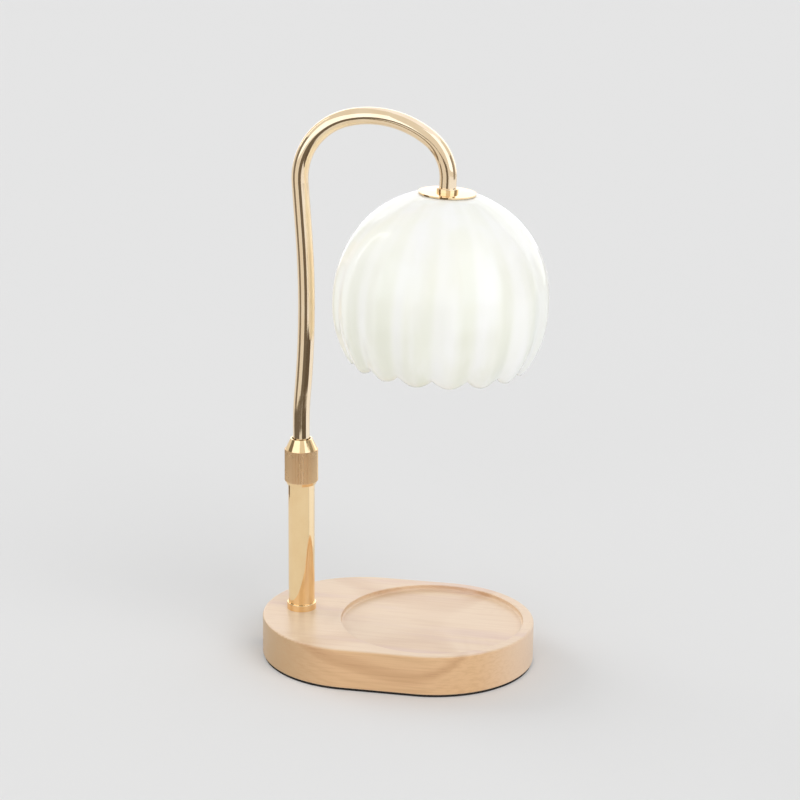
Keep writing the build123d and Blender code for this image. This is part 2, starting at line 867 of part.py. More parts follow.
def make_holder_contacts():
    strips = Sketch()
    for start in pin_places:
        strips += SlotArc(CenterArc((0, 0), pin_radius, start, twist_angle), contact_width)
    contacts = Pos(0, 0, -contact_depth) * extrude(strips, contact_thickness)
    stem = rod(contact_stem_diameter / 2, -contact_depth, -holder_depth + contact_stem_proud)
    for side in (1, -1):
        contacts += Pos(0, side * pin_radius, 0) * stem
    return at_head(contacts)


def make_holder_screws():
    seat = -holder_depth + bracket_thickness
    shank = rod(holder_screw_diameter / 2, seat - holder_screw_length, seat)
    head = rod(holder_screw_head_diameter / 2, seat, seat + holder_screw_head_height)
    screw = shank + head
    return at_head(Part() + [Pos(side * holder_screw_spacing / 2, 0, 0) * screw for side in (1, -1)])


# ------------------------------------------------------------------ bulb
def make_bulb_base():
    boss_low = bulb_depth + bulb_base_height
    base = rod(bulb_base_diameter / 2, -boss_low, -bulb_depth)
    return at_head(base + rod(bulb_boss_diameter / 2, -boss_low - bulb_boss_height, -boss_low))


def make_bulb_pins():
    neck = rod(pin_diameter / 2, -bulb_depth, -pin_head_depth)
    head = rod(pin_head_diameter / 2, -pin_head_depth, -pin_head_depth + pin_head_height)
    pin = neck + head
    return at_head(Part() + [Pos(0, side * pin_radius, 0) * pin for side in (1, -1)])


def make_bulb_reflector():
    neck_top = -bulb_depth - bulb_base_height
    neck_low = neck_top - bulb_neck_height
    face = -bulb_depth - bulb_length
    rim = face + bulb_rim_height
    outer_neck = bulb_base_diameter / 2
    inner_neck = bulb_boss_diameter / 2 + seat_clearance
    outer_rim = bulb_diameter / 2
    inner_rim = outer_rim - bulb_wall

    chord = math.hypot(outer_rim - outer_neck, neck_low - rim)
    normal = ((neck_low - rim) / chord, (outer_rim - outer_neck) / chord)

    def bowl_point(offset):
        middle = ((outer_neck + outer_rim) / 2, (neck_low + rim) / 2)
        return (middle[0] + offset * normal[0], middle[1] + offset * normal[1])

    outline = Wire([
        Line((inner_neck, neck_top), (outer_neck, neck_top)),
        Line((outer_neck, neck_top), (outer_neck, neck_low)),
        ThreePointArc((outer_neck, neck_low), bowl_point(bulb_bowl_bulge), (outer_rim, rim)),
        Line((outer_rim, rim), (outer_rim, face)),
        Line((outer_rim, face), (inner_rim, face)),
        Line((inner_rim, face), (inner_rim, rim)),
        ThreePointArc((inner_rim, rim), bowl_point(bulb_bowl_bulge - bulb_wall), (inner_neck, neck_low)),
        Line((inner_neck, neck_low), (inner_neck, neck_top)),
    ])
    return at_head(revolve(Plane.XZ * make_face(outline), Axis.Z))


def make_bulb_lens():
    radius = bulb_diameter / 2 - bulb_wall - seat_clearance
    low = -bulb_depth - bulb_length + lens_recess
    return at_head(rod(radius, low, low + lens_thickness))


def make_bulb_capsule():
    top = -bulb_depth - bulb_base_height - bulb_boss_height
    radius = capsule_diameter / 2
    tube = rod(radius, top - capsule_length + radius, top)
    return at_head(tube + Pos(0, 0, top - capsule_length + radius) * Sphere(radius))


# ------------------------------------------------------------------ every piece and its file
pieces = {
    "wood_base": make_wood_base,
    "base_pad": make_base_pad,
    "ballast_plate": make_ballast_plate,
    "ballast_screws": make_ballast_screws,
    "cable_gland": make_cable_gland,
    "base_leads": make_base_leads,
    "post_foot_ring": make_post_foot_ring,
    "post_tube": make_post_tube,
    "post_end_bush": make_post_end_bush,
    "post_stud": make_post_stud,
    "post_washer": make_post_washer,
    "post_lock_washer": make_post_lock_washer,
    "post_nut": make_post_nut,
    "clamp_bush": make_clamp_bush,
    "clamp_collet": make_clamp_collet,
    "lock_collar": make_lock_collar,
    "slack_leads": make_slack_leads,
    "guide_sleeve": make_guide_sleeve,
    "neck_tube": make_neck_tube,
    "neck_end_ring": make_end_ring,
    "neck_stop_clip": make_stop_clip,
    "neck_leads": make_neck_leads,
    "neck_ferrule": make_ferrule,
    "shade_cap": make_shade_cap,
    "cap_gasket": make_cap_gasket,
    "glass_shade": make_glass_shade,
    "under_gasket": make_under_gasket,
    "shade_washer": make_shade_washer,
    "shade_nut": make_shade_nut,
    "holder_bracket": make_holder_bracket,
    "bracket_nut": make_bracket_nut,
    "lampholder": make_lampholder,
    "holder_plate": make_holder_plate,
    "holder_contacts": make_holder_contacts,
    "holder_screws": make_holder_screws,
    "bulb_base": make_bulb_base,
    "bulb_pins": make_bulb_pins,
    "bulb_reflector": make_bulb_reflector,
    "bulb_capsule": make_bulb_capsule,
    "bulb_lens": make_bulb_lens,
}

os.makedirs("parts", exist_ok=True)
for name, make_piece in pieces.items():
    export_step(make_piece(), os.path.join("parts", name + ".step"))
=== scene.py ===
"""Looks, light and camera of a candle warmer lamp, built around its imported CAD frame.

The lamp stands on a stadium-shaped wooden base with a sunken candle tray. A bent tube slides in a
post and carries a lobed shade of milky glass, with a reflector bulb inside it. Sizes are in metres
and angles in degrees. +Z is up, +X runs from the post to the tray, and the front looks to -Y.
"""

import json
import logging
import math
from collections.abc import Callable
from dataclasses import dataclass, field
from enum import Enum

import bpy
from mathutils import Matrix, Quaternion, Vector

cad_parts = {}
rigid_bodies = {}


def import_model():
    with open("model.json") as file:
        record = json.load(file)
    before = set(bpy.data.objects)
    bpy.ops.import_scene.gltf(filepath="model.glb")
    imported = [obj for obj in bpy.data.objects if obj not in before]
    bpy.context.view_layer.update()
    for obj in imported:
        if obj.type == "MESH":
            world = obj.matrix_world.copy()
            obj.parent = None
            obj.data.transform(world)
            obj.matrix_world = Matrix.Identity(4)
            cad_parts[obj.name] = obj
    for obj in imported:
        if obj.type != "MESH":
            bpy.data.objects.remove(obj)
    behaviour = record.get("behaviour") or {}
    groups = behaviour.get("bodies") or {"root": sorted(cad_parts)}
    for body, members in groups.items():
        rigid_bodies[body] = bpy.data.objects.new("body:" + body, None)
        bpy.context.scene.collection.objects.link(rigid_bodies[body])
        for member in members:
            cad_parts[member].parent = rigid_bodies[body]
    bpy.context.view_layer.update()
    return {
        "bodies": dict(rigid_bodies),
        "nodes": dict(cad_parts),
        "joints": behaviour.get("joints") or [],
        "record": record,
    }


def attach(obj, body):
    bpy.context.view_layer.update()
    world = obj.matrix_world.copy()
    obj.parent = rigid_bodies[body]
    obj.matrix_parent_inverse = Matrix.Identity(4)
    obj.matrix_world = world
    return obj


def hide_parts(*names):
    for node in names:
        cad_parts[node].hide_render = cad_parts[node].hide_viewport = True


LOG = logging.getLogger("lamp")

Pair = tuple[float, float]
Triple = tuple[float, float, float]
Colour = tuple[float, float, float]
Socket = bpy.types.NodeSocket

# Where an axis stands in a coordinate, and the range that most of a noise keeps to.
X, Z = 0, 2
MIDDLE: Pair = (0.3, 0.7)


class Slot(Enum):
    """The record's material slots."""

    WOOD = "wood"
    POLISHED_GOLD = "polished_gold"
    KNURLED_GOLD = "knurled_gold"
    STEEL = "steel"
    PAD_FOAM = "pad_foam"
    BLACK_RUBBER = "black_rubber"
    SILICONE = "silicone"
    NYLON = "nylon"
    LEAD_INSULATION = "lead_insulation"
    MILK_GLASS = "milk_glass"
    CERAMIC = "ceramic"
    CONTACT_BRONZE = "contact_bronze"
    CLEAR_GLASS = "clear_glass"
    MIRROR_GLASS = "mirror_glass"


def tint(red: int, green: int, blue: int) -> Colour:
    """Turns a colour of 0 to 255 parts into the linear values that a shader takes.

    Args:
        red: Red part.
        green: Green part.
        blue: Blue part.

    Returns:
        The three linear values.
    """
    def linear(part: int) -> float:
        """Gives one part's linear value."""
        share = part / 255
        return share / 12.92 if share <= 0.04045 else ((share + 0.055) / 1.055) ** 2.4

    return linear(red), linear(green), linear(blue)


@dataclass(frozen=True)
class Head:
    """The lamp's head: where its cap is, how far its axis leans, and the lobes round it."""

    cap_centre: Triple = (0.0263220862, 0.0, 0.2879443869)
    tilt: float = 2.5
    lobes: int = 16
    phase: float = -4.3

    def place(self) -> Matrix:
        """Gives the move that puts what is modelled upright at the origin into the head."""
        lean = Matrix.Rotation(math.radians(self.tilt), 4, "Y")
        return Matrix.Translation(self.cap_centre) @ lean


@dataclass(frozen=True)
class Grain:
    """Noise at a material's scale: cells per metre along each axis, octaves, bend and offset."""

    cells: Triple
    detail: float
    bend: float = 0.0
    shift: Triple = (0, 0, 0)


class Surface:
    """A node material while it is put together."""

    def __init__(self, name: str) -> None:
        """Starts the material.

        Args:
            name: The material's name.
        """
        self.material = bpy.data.materials.new(name)
        self.material.use_nodes = True
        self.tree = self.material.node_tree
        self.shader = self.tree.nodes["Principled BSDF"]
        self.place = self.node("TexCoord").outputs["Object"]

    def node(self, kind: str, **settings: object) -> bpy.types.Node:
        """Adds a node and sets its properties.

        Args:
            kind: The node's type name, without its ShaderNode prefix.
            settings: Properties to set on it.

        Returns:
            The node.
        """
        made = self.tree.nodes.new("ShaderNode" + kind)
        for name, value in settings.items():
            setattr(made, name, value)
        return made

    def feed(self, socket: Socket, value: object) -> None:
        """Puts a value or another node's output into a socket.

        Args:
            socket: The input.
            value: A number, colour, vector or output socket.
        """
        if isinstance(value, bpy.types.NodeSocket):
            self.tree.links.new(value, socket)
        elif isinstance(value, tuple) and len(value) == 3 and socket.type == "RGBA":
            socket.default_value = (*value, 1.0)
        else:
            socket.default_value = value

    def set(self, **values: object) -> None:
        """Sets or links the shader's own sockets.

        Args:
            values: Socket names, with _ for a space, and what goes into them.
        """
        for name, value in values.items():
            self.feed(self.shader.inputs[name.replace("_", " ")], value)

    def noise(self, grain: Grain) -> Socket:
        """Adds noise on the piece's own coordinates.

        Args:
            grain: Its scale and character.

        Returns:
            The noise, about 0 to 1.
        """
        mapping, made = self.node("Mapping"), self.node("TexNoise")
        self.feed(mapping.inputs["Vector"], self.place)
        self.feed(mapping.inputs["Scale"], grain.cells)
        self.feed(mapping.inputs["Location"], grain.shift)
        self.feed(made.inputs["Vector"], mapping.outputs["Vector"])
        self.feed(made.inputs["Scale"], 1.0)
        self.feed(made.inputs["Detail"], grain.detail)
        self.feed(made.inputs["Distortion"], grain.bend)
        return made.outputs["Fac"]

    def reckon(self, operation: str, *values: object) -> Socket:
        """Adds a Math node.

        Args:
            operation: Its operation.
            values: The numbers and outputs that it works on.

        Returns:
            The result.
        """
        made = self.node("Math", operation=operation)
        for socket, value in zip(made.inputs, values):
            self.feed(socket, value)
        return made.outputs[0]

    def plus(self, first: object, second: object) -> Socket:
        """Adds two numbers."""
        return self.reckon("ADD", first, second)

    def minus(self, first: object, second: object) -> Socket:
        """Takes the second number from the first."""
        return self.reckon("SUBTRACT", first, second)

    def times(self, first: object, second: object) -> Socket:
        """Multiplies two numbers."""
        return self.reckon("MULTIPLY", first, second)

    def length(self, first: object, second: object) -> Socket:
        """Gives how long a line is that runs so far along each of two axes."""
        return self.reckon("SQRT", self.plus(self.times(first, first), self.times(second, second)))

    def between(self, value: object, span: Pair, result: Pair = (0.0, 1.0)) -> Socket:
        """Maps a span of a value to another range, smoothly and without overshoot.

        Args:
            value: The value.
            span: Where it begins to count, and where it ends.
            result: What those two ends give.

        Returns:
            The mapped value.
        """
        made = self.node("MapRange", interpolation_type="SMOOTHSTEP")
        for socket, entry in zip(made.inputs, (value, *span, *result)):
            self.feed(socket, entry)
        return made.outputs["Result"]

    def blend(self, share: object, first: object, second: object, mode: str = "MIX") -> Socket:
        """Mixes two colours.

        Args:
            share: How much of the second, 0 to 1.
            first: First colour or output.
            second: Second colour or output.
            mode: The blend type.

        Returns:
            The mixed colour.
        """
        made = self.node("Mix", data_type="RGBA", blend_type=mode)
        colour_a, colour_b = [socket for socket in made.inputs if socket.type == "RGBA"]
        self.feed(made.inputs["Factor"], share)
        self.feed(colour_a, first)
        self.feed(colour_b, second)
        return next(socket for socket in made.outputs if socket.type == "RGBA")

    def axes(self, where: Socket | None = None) -> list[Socket]:
        """Splits coordinates into their three numbers.

        Args:
            where: The coordinates, or the piece's own if there are none.

        Returns:
            The numbers along x, y and z.
        """
        made = self.node("SeparateXYZ")
        self.feed(made.inputs[0], where or self.place)
        return list(made.outputs)

    def facing(self, axis: int) -> Socket:
        """Gives how far a face looks along an axis: 0 not at all, 1 straight along it."""
        return self.reckon("ABSOLUTE", self.axes(self.node("TexCoord").outputs["Normal"])[axis])

    def relief(self, height: Socket, depth: float, strength: float) -> None:
        """Roughens the surface.

        Args:
            height: The relief, 0 to 1.
            depth: Its depth.
            strength: Share of it that shows.
        """
        bump = self.node("Bump")
        self.feed(bump.inputs["Strength"], strength)
        self.feed(bump.inputs["Distance"], depth)
        self.feed(bump.inputs["Height"], height)
        self.set(Normal=bump.outputs["Normal"])


@dataclass(frozen=True)
class Wood:
    """Pale straight-grained wood under clear matt lacquer.

    The grain runs along the base. Growth rings lie round a heart below it. They are lowest near
    the middle of the tray and rise towards both ends, so one broad dark ring bows across the
    front. Level faces and the tray are paler than the sides. The sides carry painted shade towards
    the left end and painted light towards the right end. The *_dark fields say how much of the dark
    grain each pattern adds, and the *_quiet fields how much of it faces of that kind keep.
    """

    face: Colour = tint(231, 204, 173)
    face_rosy: Colour = tint(223, 193, 171)
    side: Colour = tint(223, 183, 138)
    # The two end tones are painted: shade towards the left end, light towards the right end.
    left_end_painted_shade: Colour = tint(183, 152, 112)
    right_end_painted_light: Colour = tint(232, 203, 174)
    dark_grain: Colour = tint(194, 148, 106)
    fibre: Grain = Grain((70, 2400, 2400), 3.0, shift=(5, 2, 1))
    fibre_span: Pair = (0.45, 0.80)
    fibre_dark: float = 0.13
    fibre_relief: float = 0.6
    streak: Grain = Grain((26, 420, 900), 5.0, 0.2)
    streak_span: Pair = (0.42, 0.68)
    streak_dark: float = 0.27
    level_span: Pair = (0.3, 0.95)
    level_quiet: float = 0.45
    end_span: Pair = (0.55, 0.95)
    end_quiet: float = 0.35
    gloss: Pair = (0.27, 0.38)
    gloss_span: Pair = (0.2, 0.8)
    pore_depth: float = 0.00005
    rosy: Grain = Grain((8, 60, 38), 3.0, 0.2, (1, 9, 4))
    rosy_span: Pair = (0.46, 0.70)
    # Where the painted shade at the left end and the painted light at the right end fade in.
    left_painted_shade_span: Pair = (-0.078, -0.022)
    right_painted_light_span: Pair = (0.054, 0.086)
    face_span: Pair = (0.35, 0.9)
    tray_x: float = 0.021
    tray_radius: float = 0.0553
    tray_floor: float = 0.0215
    tray_pale: float = 0.75
    heart_z: float = -0.120
    dip_x: float = 0.023
    dip_turn: Pair = (-0.002, 0.002)
    dip_curve: Pair = (2.2, 15.0)
    sway: Grain = Grain((9, 26, 26), 2.0)
    sway_reach: float = 0.007
    band_radius: float = 0.1498
    band_width: float = 0.0050
    band_dark: float = 0.55
    ring_step: float = 0.0030
    ring_span: Pair = (0.3, 1.0)
    ring_dark: float = 0.16
    ring_patches: Grain = Grain((14, 60, 60), 3.0, shift=(3, 1, 7))
    ring_patch_span: Pair = (0.40, 0.68)
    ring_reach: Pair = (0.045, 0.075)
    ring_at_ends: float = 0.3

    def make(self) -> bpy.types.Material:
        """Builds the material.

        Returns:
            The wood.
        """
        s = Surface("wood_lacquered")
        fibre = s.noise(self.fibre)
        streak = s.between(s.noise(self.streak), self.streak_span)
        dark = s.plus(s.times(streak, self.streak_dark), self.growth(s))
        dark = s.plus(dark, s.times(s.between(fibre, self.fibre_span), self.fibre_dark))
        level = s.between(s.facing(Z), self.level_span, (1.0, self.level_quiet))
        end = s.between(s.facing(X), self.end_span, (1.0, self.end_quiet))
        dark = s.times(dark, s.times(level, end))
        s.set(
            Base_Color=s.blend(dark, self.ground(s), self.dark_grain),
            Roughness=s.between(fibre, self.gloss_span, self.gloss),
        )
        pores = s.plus(s.times(fibre, self.fibre_relief), streak)
        s.relief(pores, self.pore_depth, strength=0.4)
        return s.material

    def growth(self, s: Surface) -> Socket:
        """Adds the growth rings and the one broad band that bows across the front.

        Args:
            s: The material.

        Returns:
            How dark the rings are.
        """
        x, y, z = s.axes()
        along = s.minus(x, self.dip_x)
        dip = s.times(s.times(along, along), s.between(along, self.dip_turn, self.dip_curve))
        depth = s.minus(s.minus(z, dip), self.heart_z)
        radius = s.plus(s.length(depth, y), s.times(s.noise(self.sway), self.sway_reach))
        wave = s.reckon("PINGPONG", s.reckon("DIVIDE", radius, self.ring_step), 1.0)
        ring = s.between(wave, self.ring_span)
        patchy = s.between(s.noise(self.ring_patches), self.ring_patch_span)
        middle = s.between(s.reckon("ABSOLUTE", x), self.ring_reach, (1.0, self.ring_at_ends))
        rings = s.times(s.times(ring, patchy), s.times(middle, self.ring_dark))
        away = s.reckon("ABSOLUTE", s.minus(radius, self.band_radius))
        return s.plus(s.between(away, (0.0, self.band_width), (self.band_dark, 0.0)), rings)

    def ground(self, s: Surface) -> Socket:
        """Adds the wood's ground: pale faces and tray, darker sides, and painted shade and light at
        the ends.

        Args:
            s: The material.

        Returns:
            The ground colour.
        """
        x, y, z = s.axes()
        face = s.blend(s.between(s.noise(self.rosy), self.rosy_span), self.face, self.face_rosy)
        # Painted shade on the sides towards the left end, painted light towards the right end.
        side = s.blend(s.between(x, self.left_painted_shade_span, (1.0, 0.0)), self.side, self.left_end_painted_shade)
        side = s.blend(s.between(x, self.right_painted_light_span), side, self.right_end_painted_light)
        within = s.reckon("LESS_THAN", s.length(s.minus(x, self.tray_x), y), self.tray_radius)
        wall = s.times(within, s.reckon("GREATER_THAN", z, self.tray_floor))
        level = s.between(s.facing(Z), self.face_span)
        return s.blend(s.reckon("MAXIMUM", level, s.times(wall, self.tray_pale)), side, face)


@dataclass(frozen=True)
class Gold:
    """Champagne gold plate: polished, and where knurl_dull is given, satin along the knurl with
    painted shade.
    """

    name: str
    colour: Colour = tint(254, 224, 174)
    deep: Colour = tint(250, 216, 164)
    gloss: Pair = (0.05, 0.09)
    gloss_span: Pair = (0.35, 0.7)
    cloud: Grain = Grain((90, 90, 60), 3.0)
    deep_span: Pair = (0.3, 0.75)
    hair: Grain = Grain((1800, 1800, 60), 2.0, shift=(2, 5, 3))
    hair_depth: float = 0.000004
    knurl: Pair = (0.1075, 0.1273)
    knurl_edge: float = 0.0002
    knurl_dull: float = 0.0
    # A darker tone painted along the knurl as the shade of its grooves, and how much of it shows.
    knurl_painted_shade: Colour = tint(238, 202, 158)
    knurl_painted_shade_share: float = 0.9

    def make(self) -> bpy.types.Material:
        """Builds the material.

        Returns:
            The gold.
        """
        s = Surface(self.name)
        cloud = s.noise(self.cloud)
        worn = s.between(cloud, self.gloss_span, self.gloss)
        colour = s.blend(s.between(cloud, self.deep_span), self.colour, self.deep)
        if self.knurl_dull:
            z = s.axes()[Z]
            lower, upper = ((end - self.knurl_edge, end + self.knurl_edge) for end in self.knurl)
            knurl = s.times(s.between(z, lower), s.between(z, upper, (1.0, 0.0)))
            worn = s.plus(worn, s.times(knurl, self.knurl_dull))
            # Painted shade: the knurl's grooves are darkened in the colour.
            colour = s.blend(s.times(knurl, self.knurl_painted_shade_share), colour, self.knurl_painted_shade)
        s.set(Metallic=1.0, Base_Color=colour, Roughness=worn)
        s.relief(s.noise(self.hair), self.hair_depth, strength=0.12)
        return s.material


@dataclass(frozen=True)
class MilkGlass:
    """Milky pressed glass with greenish patches, painted shade and painted highlight.

    A greenish vein of painted shade runs down one side of each groove between two lobes, on the
    flank turned from the light, and a pale vein of painted highlight down the other. Both fade
    towards the crown, and the pale one towards the rim as well. The crown itself is darkened with
    painted shade. The *_side fields say how far round the shade a vein lies from its groove,
    clockwise from above.
    """

    head: Head = Head()
    white: Colour = tint(253, 253, 249)
    cream: Colour = tint(251, 251, 241)
    cream_span: Pair = (0.36, 0.68)
    # Painted shade that darkens the crown, where the light from above falls most.
    crown_painted_shade: Colour = (0.945, 0.945, 0.955)
    crown_painted_shade_span: Pair = (0.225, 0.285)
    fade_span: Pair = (0.205, 0.288)
    fade_rest: float = 0.28
    # A greenish tone shared by the glass's own patches and the painted shade beside the grooves.
    jade_and_painted_shade: Colour = tint(239, 240, 226)
    painted_shade_side: float = 5.5
    painted_shade_span: Pair = (0.20, 0.90)
    painted_shade_patches: Pair = (0.30, 0.60)
    painted_shade_strength: Pair = (0.55, 1.0)
    cloud_span: Pair = (0.36, 0.70)
    cloud_strength: float = 0.6
    # The painted highlight beside the grooves.
    painted_highlight: Colour = tint(252, 252, 247)
    painted_highlight_side: float = -2.5
    painted_highlight_span: Pair = (0.55, 0.96)
    painted_highlight_patches: Pair = (0.38, 0.62)
    painted_highlight_strength: Pair = (0.15, 0.90)
    rim_span: Pair = (0.188, 0.225)
    rim_rest: float = 0.35
    swirl: Grain = Grain((38, 38, 7), 2.0, 0.25)
    veil: Grain = Grain((64, 64, 9), 3.0, 0.3, (4, 2, 8))
    gloss: Pair = (0.07, 0.13)
    ripple: Grain = Grain((26, 26, 30), 1.0, shift=(7, 3, 2))
    ripple_depth: float = 0.0004

    def make(self) -> bpy.types.Material:
        """Builds the material.

        Returns:
            The glass.
        """
        s = Surface("milk_glass_pressed")
        z = s.axes()[Z]
        swirl, veil = s.noise(self.swirl), s.noise(self.veil)
        ground = s.blend(s.between(swirl, self.cream_span), self.white, self.cream)
        # Painted shade over the crown.
        ground = s.blend(s.between(z, self.crown_painted_shade_span), ground, self.crown_painted_shade, "MULTIPLY")
        low = s.between(z, self.fade_span, (1.0, self.fade_rest))
        cloud = s.times(s.between(veil, self.cloud_span), s.times(low, self.cloud_strength))
        # Painted shade: a greenish vein on the flank of each lobe turned from the light, mixed in
        # with the glass's own greenish patches.
        uneven = s.times(s.between(veil, self.painted_shade_patches, self.painted_shade_strength), low)
        vein = s.times(s.between(self.beside_groove(s, self.painted_shade_side), self.painted_shade_span), uneven)
        ground = s.blend(s.reckon("MAXIMUM", cloud, vein), ground, self.jade_and_painted_shade)
        # Painted highlight: a pale vein on the flank of each lobe turned to the light, fading
        # towards the rim.
        belly = s.times(low, s.between(z, self.rim_span, (self.rim_rest, 1.0)))
        patchy = s.times(s.between(swirl, self.painted_highlight_patches, self.painted_highlight_strength), belly)
        pale = s.times(s.between(self.beside_groove(s, self.painted_highlight_side), self.painted_highlight_span), patchy)
        s.set(
            Base_Color=s.blend(pale, ground, self.painted_highlight),
            Roughness=s.between(veil, MIDDLE, self.gloss),
            IOR=1.50,
            Subsurface_Weight=0.20,
            Subsurface_Radius=(1.0, 1.0, 1.0),
            Subsurface_Scale=0.002,
            Sheen_Weight=0.20,
            Sheen_Roughness=0.25,
        )
        s.relief(s.noise(self.ripple), self.ripple_depth, strength=0.08)
        return s.material

    def beside_groove(self, s: Surface, aside: float) -> Socket:
        """Adds how near a point is to a line beside the groove between two lobes.

        Args:
            s: The material.
            aside: How far round the shade the line lies from the groove, clockwise from above.

        Returns:
            1 on the line, 0 half a lobe's width away from it.
        """
        x, y, z = s.axes()
        axis_x, _, axis_z = self.head.cap_centre
        lean = s.times(s.minus(z, axis_z), math.tan(math.radians(self.head.tilt)))
        across = s.minus(s.minus(x, axis_x), lean)
        turn = s.plus(s.reckon("ARCTAN2", y, across), math.radians(aside - self.head.phase))
        return s.reckon("PINGPONG", s.times(turn, self.head.lobes / math.pi), 1.0)


@dataclass(frozen=True)
class Plain:
    """A hidden or small piece's finish: two close tones, a grain and a fine relief."""

    name: str
    light: Colour
    dark: Colour
    gloss: Pair = (0.4, 0.6)
    cells: Triple = (400, 400, 400)
    relief_depth: float = 0.00002
    metallic: float = 0.0
    transmission: float = 0.0
    ior: float = 1.45

    def make(self) -> bpy.types.Material:
        """Builds the material.

        Returns:
            The finish.
        """
        s = Surface(self.name)
        grain = s.noise(Grain(self.cells, detail=3.0))
        s.set(
            Base_Color=s.blend(s.between(grain, MIDDLE), self.light, self.dark),
            Roughness=s.between(grain, MIDDLE, self.gloss),
            Metallic=self.metallic,
            IOR=self.ior,
            Transmission_Weight=self.transmission,
        )
        s.relief(grain, self.relief_depth, strength=0.5)
        return s.material


FINISHES: dict[Slot, Wood | Gold | MilkGlass | Plain] = {
    Slot.WOOD: Wood(),
    Slot.POLISHED_GOLD: Gold("gold_polished"),
    Slot.KNURLED_GOLD: Gold("gold_knurled", knurl_dull=0.20),
    Slot.MILK_GLASS: MilkGlass(),
    Slot.STEEL: Plain(
        "steel_zinc", tint(196, 199, 203), tint(168, 172, 178), (0.25, 0.42), metallic=1.0
    ),
    Slot.PAD_FOAM: Plain(
        "foam_black", tint(46, 43, 40), tint(30, 28, 27), (0.85, 0.95), (1500, 1500, 1500),
        relief_depth=0.0002,
    ),
    Slot.BLACK_RUBBER: Plain("rubber_black", tint(38, 38, 39), tint(24, 24, 25), (0.55, 0.7)),
    Slot.SILICONE: Plain(
        "silicone_clear", tint(226, 228, 226), tint(212, 214, 212), (0.3, 0.42), transmission=0.35
    ),
    Slot.NYLON: Plain("nylon_natural", tint(232, 228, 214), tint(220, 214, 198)),
    Slot.LEAD_INSULATION: Plain(
        "lead_sleeve", tint(232, 229, 220), tint(196, 192, 182), (0.6, 0.8), (900, 900, 1500),
        relief_depth=0.0001,
    ),
    Slot.CERAMIC: Plain(
        "ceramic_white", tint(240, 238, 232), tint(226, 222, 212), (0.45, 0.65), (700, 700, 700)
    ),
    Slot.CONTACT_BRONZE: Plain(
        "bronze_contact", tint(214, 160, 104), tint(190, 134, 82), (0.2, 0.35), metallic=1.0
    ),
    Slot.CLEAR_GLASS: Plain(
        "glass_clear", tint(250, 252, 252), tint(244, 248, 248), (0.01, 0.03), (60, 60, 60),
        relief_depth=0.00001, transmission=1.0, ior=1.5,
    ),
    Slot.MIRROR_GLASS: Plain(
        "glass_mirror", tint(214, 216, 222), tint(188, 186, 206), (0.06, 0.14), (160, 160, 160),
        relief_depth=0.0003, metallic=1.0,
    ),
}


class Finishes:
    """Every finish of the lamp, made once."""

    def __init__(self) -> None:
        """Builds the materials. The neck's gold is paler than the post's."""
        pale_gold = Gold("gold_pale", tint(252, 229, 193), tint(248, 221, 182)).make()
        self.special = {"neck_tube": pale_gold, "neck_ferrule": pale_gold}
        self.made = {slot: finish.make() for slot, finish in FINISHES.items()}

    def put(self, node: str, thing: bpy.types.Object, slot: Slot) -> None:
        """Gives a piece its finish and reports it.

        Args:
            node: The piece's name.
            thing: The piece.
            slot: The finish's slot.
        """
        finish = self.special.get(node, self.made[slot])
        if not thing.material_slots:
            thing.data.materials.append(finish)
        for place in thing.material_slots:
            place.material = finish
        LOG.info("%s: %s", node, slot.value)


def everywhere(place: Vector) -> bool:
    """Picks every point."""
    return True


